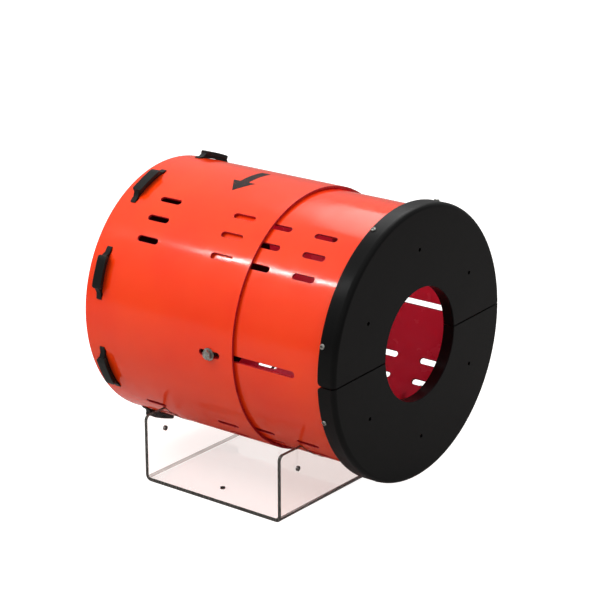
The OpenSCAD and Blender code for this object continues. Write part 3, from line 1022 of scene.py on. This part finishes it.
class GUARD_OT_rim_screws(bpy.types.Operator):
    """Turn the pan-head screws round the front plate's lip"""

    bl_idname = "guard.rim_screws"
    bl_label = "Rim screws"

    def execute(self, context):
        plate = context.scene.guard_plate
        head, height, shank = plate.screw_head / 2, plate.screw_head_height, plate.screw_shank / 2
        angles = [plate.screw_low, plate.screw_high]
        angles += [math.pi - a for a in reversed(angles)]
        angles += [a + math.pi for a in angles]
        tip = INNER_R - context.scene.guard_shell.sheet - 2 * MM
        pitch, root, rim, skirt = 0.9 * MM, 0.8, 0.2 * MM, 0.4 * MM
        threads, _ = thread(shank, root, tip + 1.2 * MM, PLATE_R - 0.5 * MM, pitch)
        profile = [(0, tip), (shank * 0.5, tip + 0.6 * MM), *threads, (shank * root, PLATE_R),
                   (head - rim, PLATE_R), (head, PLATE_R + 0.25 * MM),
                   *[(head * math.cos(math.radians(a)), PLATE_R + skirt
                      + (height - skirt) * math.sin(math.radians(a))) for a in range(0, 90, 12)],
                   (0, PLATE_R + height)]
        # The cross recess is two slots, each as deep as half its 2.6 mm
        blade = Matrix.Diagonal((head * 1.2, 2.6 * MM, 0.9 * MM, 1))
        for i, angle in enumerate(angles):
            turn = about_shaft(angle, middle_x("rim_screw_1"))

            def place(r, h, around, turn=turn):
                return turn @ Vector((r * math.cos(around), h, r * math.sin(around)))

            piece = lathed(f"Rim_Screw_{i + 1}", profile, place, sides=28)
            cross = []
            for quarter in (0.0, math.pi / 2):
                tool = bmesh.new()
                spin = Matrix.Rotation(quarter + 0.5 * i, 4, "Y")
                at_head = turn @ Matrix.Translation((0, PLATE_R + height, 0))
                bmesh.ops.create_cube(tool, size=1.0, matrix=at_head @ spin @ blade)
                cross.append(object_from(tool, "Driver"))
            cut(piece, cross)
            settle(piece, eased(0.12 * MM, 1, 45), WEIGHTED)
            finish_piece(piece, "zinc_hardware", "front_section", [f"rim_screw_{i + 1}"])
        return {"FINISHED"}


class GUARD_OT_clamps(bpy.types.Operator):
    """Turn the clamp bolts, washers and nuts"""

    bl_idname = "guard.clamps"
    bl_label = "Clamp bolts"

    def execute(self, context):
        for side, angle in (("near", NEAR), ("far", FAR)):
            self.turn = about_shaft(angle)
            self.back = self.turn.inverted()
            self.side = side
            self.bolt(context.scene.guard_hardware)
            self.nut(context.scene.guard_hardware)
            for where in ("outer", "inner"):
                self.washer(context.scene.guard_hardware, where)
        return {"FINISHED"}

    def span(self, node):
        """The middle along X, and the lowest and highest radius, of a node of this side."""
        points = [self.back @ vert.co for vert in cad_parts[node].data.vertices]
        along, out = [p.x for p in points], [p.y for p in points]
        return (min(along) + max(along)) / 2, min(out), max(out)

    def placed(self, x):
        """How a turned piece is placed, with its axis at x."""
        return lambda r, h, around: self.turn @ Vector((
            x + r * math.cos(around), h, r * math.sin(around)))

    def hexagon(self, name, x, low, high, flats, chamfer_low):
        """A hexagon whose corners are turned back to a cone at its outer end, or at both."""
        corner, slim = flats / 2 / math.cos(math.pi / 6), flats * 0.475
        wide, rise = corner * 1.01, (corner - slim) * math.tan(math.radians(30))
        bm = bmesh.new()
        place = self.placed(x)
        rings = [[bm.verts.new(place(corner, h, math.pi / 3 * k + math.pi / 6)) for k in range(6)]
                 for h in (low, high)]
        for k in range(6):
            bm.faces.new([rings[0][k], rings[0][(k + 1) % 6], rings[1][(k + 1) % 6], rings[1][k]])
        bm.faces.new(rings[0])
        bm.faces.new(list(reversed(rings[1])))
        low_end = [(slim, low), (wide, low + rise)] if chamfer_low else [(wide, low)]
        profile = [(0, low), *low_end, (wide, high - rise), (slim, high), (0, high)]
        return cut(object_from(bm, name), [lathed("Blank", profile, place, sides=60)], "INTERSECT")

    def bolt(self, hardware):
        node = f"clamp_bolt_{self.side}"
        x, tip, top = self.span(node)
        _, _, seat = self.span(f"clamp_outer_washer_{self.side}")
        radius, pitch, root = hardware.bolt / 2, hardware.thread_pitch, 0.84
        into_head, plain = 1 * MM, 4 * MM
        threads, level = thread(radius, root, tip + 1 * MM, seat - plain, pitch)
        profile = [(0, tip), (radius * 0.8, tip), *threads, (radius * root, level),
                   (radius, level + pitch), (radius, seat + into_head), (0, seat + into_head)]
        shank = lathed("Shank", profile, self.placed(x))
        head = self.hexagon("Head", x, seat, top, hardware.flats, False)
        settle(head, HEX_EASE, WEIGHTED)
        settle(shank, ("WEIGHTED_NORMAL", {"keep_sharp": True}))
        bolt = joined(f"Clamp_Bolt_{self.side.title()}", head, shank)
        finish_piece(bolt, "zinc_hardware", f"{self.side}_clamp", [node])

    def nut(self, hardware):
        node = f"clamp_nut_{self.side}"
        x, low, high = self.span(node)
        piece = self.hexagon(f"Clamp_Nut_{self.side.title()}", x, low, high, hardware.flats, True)
        hole, past = hardware.bolt / 2 + 0.05 * MM, 1 * MM
        bore = [(0, low - past), (hole, low - past), (hole, high + past), (0, high + past)]
        cut(piece, [lathed("Drill", bore, self.placed(x))])
        settle(piece, HEX_EASE, WEIGHTED)
        finish_piece(piece, "zinc_hardware", f"{self.side}_clamp", [node])

    def washer(self, hardware, where):
        node = f"clamp_{where}_washer_{self.side}"
        x, low, high = self.span(node)
        box_low, box_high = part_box(node)
        out, ease = (box_high.x - box_low.x) / 2, 0.3 * MM
        hole = hardware.bolt / 2 + hardware.washer_hole_play
        profile = [(hole, high - ease), *arc((hole + ease, low + ease), ease, 180, 270, 3),
                   *arc((out - ease, low + ease), ease, -90, 0, 3),
                   *arc((out - ease, high - ease), ease, 0, 90, 3),
                   *arc((hole + ease, high - ease), ease, 90, 180, 3)]
        name = f"Clamp_{where.title()}_Washer_{self.side.title()}"
        piece = lathed(name, profile, self.placed(x), sides=48)
        settle(piece, WEIGHTED)
        finish_piece(piece, "zinc_hardware", f"{self.side}_clamp", [node])


class GUARD_OT_bracket(bpy.types.Operator):
    """Cut the clear sheet, bend it to a U and drill its holes"""

    bl_idname = "guard.bracket"
    bl_label = "Saddle bracket"

    def execute(self, context):
        bracket = context.scene.guard_bracket
        sheet, bend = bracket.sheet, bracket.bend
        long, tall = BRACKET_HIGH.x - BRACKET_LOW.x, BRACKET_HIGH.z
        half_depth = (BRACKET_HIGH.y - BRACKET_LOW.y) / 2
        # The blank's top is the U's inside. Lengths run along the middle of the sheet.
        turn_r = bend - sheet / 2
        turn_len = turn_r * math.pi / 2
        wall, base = tall - bend, long - 2 * bend
        marks = [wall, wall + turn_len, wall + turn_len + base, wall + 2 * turn_len + base]
        total = 2 * wall + 2 * turn_len + base
        rear = self.end_outline(bracket, OUTER_R + bracket.shell_play, half_depth, tall)
        front = self.end_outline(bracket, INNER_R + bracket.slide_play, half_depth, tall)
        outline = rear + [(total - u, v) for u, v in reversed(front)]
        holes = []
        for side in (-1, 1):
            hole_v = side * (half_depth - bracket.wall_hole_inset)
            for u in (tall - bracket.wall_hole_height, total - tall + bracket.wall_hole_height):
                holes.append(hole_outline(u, hole_v, bracket.hole / 2))
            holes.append(hole_outline(total / 2 - bracket.base_hole_back,
                                      side * (half_depth - bracket.base_hole_inset), bracket.hole / 2))
        lines = [mark + turn_len * i / 8 for mark in (marks[0], marks[2]) for i in range(9)]
        flat, faces = cut_flat(outline, holes, lines, [])

        def form(u, v, w):
            inner = w + sheet / 2
            if u < marks[0]:
                return Vector((BRACKET_LOW.x + sheet / 2 + inner, v, tall - u))
            if u > marks[3]:
                return Vector((BRACKET_HIGH.x - sheet / 2 - inner, v, tall - (total - u)))
            if marks[1] <= u <= marks[2]:
                return Vector((BRACKET_LOW.x + bend + u - marks[1], v, sheet / 2 + inner))
            rear = u < marks[1]
            angle = (u - marks[0] if rear else marks[3] - u) / turn_r
            reach = turn_r - inner
            centre_x = BRACKET_LOW.x + bend if rear else BRACKET_HIGH.x - bend
            across = -math.cos(angle) if rear else math.cos(angle)
            return Vector((centre_x + across * reach, v, bend - reach * math.sin(angle)))

        polish, slack = 0.35 * MM, 0.3 * MM
        piece = ease_and_form(flat, faces, sheet, polish, form, "Saddle_Bracket", edge_slot=1)
        # Faces on the bends take the bend finish, whose grey tint is painted shade
        for face in piece.data.polygons:
            middle = face.center
            corner_x = min(middle.x - BRACKET_LOW.x, BRACKET_HIGH.x - middle.x)
            reach = math.hypot(corner_x - bend, middle.z - bend)
            on_bend = corner_x < bend and middle.z < bend
            if face.material_index == 0 and on_bend and reach < bend - sheet + slack:
                face.material_index = 2
        finish_piece(piece, "clear_acrylic", "rear_section", ["saddle_bracket"],
                     ["acrylic_edge_painted_shade", "acrylic_bend_painted_shade"])
        return {"FINISHED"}

    def end_outline(self, bracket, radius, half_depth, tall):
        """The top edge of one wall, from -Y to +Y, with rounded corners and its saddle cut-out."""
        corner, inset, drop = bracket.corner, half_depth - bracket.corner, AXIS_Z - tall
        chord = math.acos(drop / radius)
        sweep = [chord * (i / 24 - 1) for i in range(49)]
        return [*arc((corner, -inset), corner, 270, 180, 6),
                *[(radius * math.cos(a) - drop, radius * math.sin(a)) for a in sweep],
                *arc((corner, inset), corner, 180, 90, 6)]


class GUARD_OT_mark(bpy.types.Operator):
    """Print a plain direction arrow on the outer shell"""

    bl_idname = "guard.mark"
    bl_label = "Direction mark"

    def execute(self, context):
        shell = context.scene.guard_shell
        middle_x, middle_angle = OUTER_LOW.x + 142 * MM, math.radians(93)
        half, stem, head, barb = 34 * MM, 6.5 * MM, 25 * MM, 17 * MM
        outline = [(-half, -stem), (half - head, -stem), (half - head, -barb), (half, 0),
                   (half - head, barb), (half - head, stem), (-half, stem)]
        lines = even_lines(-half, half, 3 * MM)
        flat, faces = cut_flat(outline, [], lines, even_lines(-barb, barb, 6 * MM))
        edge = 0.015 * MM

        def form(u, v, w):
            return on_shell(middle_x + v, OUTER_R + shell.ripple * 0.45 + w, middle_angle + u / OUTER_R)

        # The print reaches below the sheet's ripple, so that none of it floats
        piece = ease_and_form(
            flat, faces, shell.ripple * 1.6, edge, form, "Direction_Mark", segments=1)
        piece.data.materials.append(finish_named("ink"))
        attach(piece, "rear_section")
        return {"FINISHED"}


class GUARD_OT_stage(bpy.types.Operator):
    """Set up the pale floor, the soft lights and the camera"""

    bl_idname = "guard.stage"
    bl_label = "Stage"

    def execute(self, context):
        self.floor()
        self.sky(context)
        self.lights(context)
        self.camera(context)
        context.scene.view_settings.view_transform = "Standard"
        return {"FINISHED"}

    def floor(self):
        """A wide floor, just under the bracket, so that no light is caught between the two."""
        half_width, below = 14, 0.2 * MM
        bm = bmesh.new()
        bmesh.ops.create_grid(bm, x_segments=1, y_segments=1, size=half_width)
        bmesh.ops.translate(bm, verts=bm.verts, vec=(0, 0, -below))
        floor = object_from(bm, "Studio_Floor")
        floor.data.materials.append(new_material("Opal_Acrylic_Light_Table", self.light_table))

    def light_table(self, tree, place, colours):
        """Opal acrylic lit from below. The eye sees it white, with a faint sheen and no horizon."""
        return add(tree, "ShaderNodeBsdfPrincipled", {
            "Base Color": linear(colours.floor), "Roughness": 0.35, "Specular IOR Level": 0.3,
            "Emission Color": (1.0, 0.995, 0.99, 1.0), "Emission Strength": self.seen(tree, 0.0, 0.96),
            "Normal": bumped(tree, patches(tree, place, 30, 2.0), 0.02),
        })

    def seen(self, tree, lighting, looked_at):
        """One strength for the light that falls on the guard, and another for what is looked at,
        straight or through the clear bracket."""
        rays = add(tree, "ShaderNodeLightPath").outputs
        bounces = add(tree, "ShaderNodeMath", {
            0: rays["Diffuse Depth"], 1: rays["Glossy Depth"]}, operation="ADD").outputs[0]
        return add(tree, "ShaderNodeMapRange", {
            "Value": bounces, "To Min": looked_at, "To Max": lighting}).outputs["Result"]

    def sky(self, context):
        """A white studio all round, brighter above than below."""
        world = bpy.data.worlds.new("Studio")
        context.scene.world = world
        world.use_nodes = True
        tree = world.node_tree
        tree.nodes.clear()
        toward = add(tree, "ShaderNodeTexCoord").outputs["Generated"]
        parts = add(tree, "ShaderNodeSeparateXYZ", {"Vector": toward})
        height = add(tree, "ShaderNodeMapRange", {
            "Value": parts.outputs["Z"], "From Min": -0.1, "From Max": 0.9, "To Min": 0.2, "To Max": 0.8,
        }).outputs["Result"]
        background = add(tree, "ShaderNodeBackground", {
            "Color": (1, 1, 1, 1), "Strength": self.seen(tree, height, 1.0)})
        output = add(tree, "ShaderNodeOutputWorld")
        tree.links.new(background.outputs["Background"], output.inputs["Surface"])

    def lights(self, context):
        # name, place, aim, (length, width), watts, whether gloss shows it
        lamps = [
            ("Key_Softbox", (-1.0, -1.5, 2.2), (0, 0, 0.25), (1.6, 1.6), 42, False),
            ("Overhead_Softbox", (-0.5, 1.4, 2.4), (0, 0, 0.25), (2.2, 1.6), 26, True),
            ("Strip_Light", (-1.03, -1.02, 1.57), (0, 0, 0.3), (0.34, 0.045), 2.8, True),
            ("Fill_Softbox", (2.4, -1.6, 1.3), (0, 0, 0.2), (1.4, 1.4), 6, False),
        ]
        for name, place, aim, size, watts, glossy in lamps:
            data = bpy.data.lights.new(name, "AREA")
            data.shape, data.size, data.size_y, data.energy = "RECTANGLE", size[0], size[1], watts
            lamp = bpy.data.objects.new(name, data)
            context.scene.collection.objects.link(lamp)
            lamp.location, lamp.visible_glossy = place, glossy
            out = (Vector(place) - Vector(aim)).normalized()
            along = Vector((1, 0, 0)) - out * out.x
            along.normalize()
            up = out.cross(along)
            lamp.rotation_euler = Matrix((along, up, out)).transposed().to_euler()

    def camera(self, context):
        stage = context.scene.guard_stage
        back = Vector((
            math.sin(stage.azimuth) * math.cos(stage.elevation),
            -math.cos(stage.azimuth) * math.cos(stage.elevation), math.sin(stage.elevation),
        ))
        data = bpy.data.cameras.new("Camera")
        data.sensor_width, data.lens = 36.0, stage.lens
        data.clip_start, data.clip_end = 0.05, 60
        camera = bpy.data.objects.new("Camera", data)
        context.scene.collection.objects.link(camera)
        camera.location = Vector((stage.aim_x, stage.aim_y, stage.aim_z)) + back * stage.distance
        turn = (-back).to_track_quat("-Z", "Y").to_matrix() @ Matrix.Rotation(stage.roll, 3, "Z")
        camera.rotation_euler = turn.to_euler()
        context.scene.camera = camera


class GUARD_PT_panel(bpy.types.Panel):
    """Buttons for every piece of the guard"""

    bl_idname = "GUARD_PT_panel"
    bl_label = "Coupling Guard"
    bl_space_type = "VIEW_3D"
    bl_region_type = "UI"
    bl_category = "Guard"

    def draw(self, context):
        for operator in OPERATORS:
            self.layout.operator(operator.bl_idname)
        for name, group in SETTINGS.items():
            column = self.layout.column(heading=group.__doc__)
            for prop in group.__annotations__:
                column.prop(getattr(context.scene, name), prop)


OPERATORS = [
    GUARD_OT_stage, GUARD_OT_shells, GUARD_OT_front_plates, GUARD_OT_rear_plates, GUARD_OT_clips,
    GUARD_OT_rim_screws, GUARD_OT_clamps, GUARD_OT_bracket, GUARD_OT_mark,
]
CLASSES = [*SETTINGS.values(), *OPERATORS, GUARD_PT_panel]


def register():
    for cls in CLASSES:
        bpy.utils.register_class(cls)
    for name, group in SETTINGS.items():
        setattr(bpy.types.Scene, name, PointerProperty(type=group))


def unregister():
    for name in SETTINGS:
        delattr(bpy.types.Scene, name)
    for cls in reversed(CLASSES):
        bpy.utils.unregister_class(cls)


def main():
    register()
    for operator in OPERATORS:
        area, action = operator.bl_idname.split(".")
        getattr(getattr(bpy.ops, area), action)()


if __name__ == "__main__":
    main()
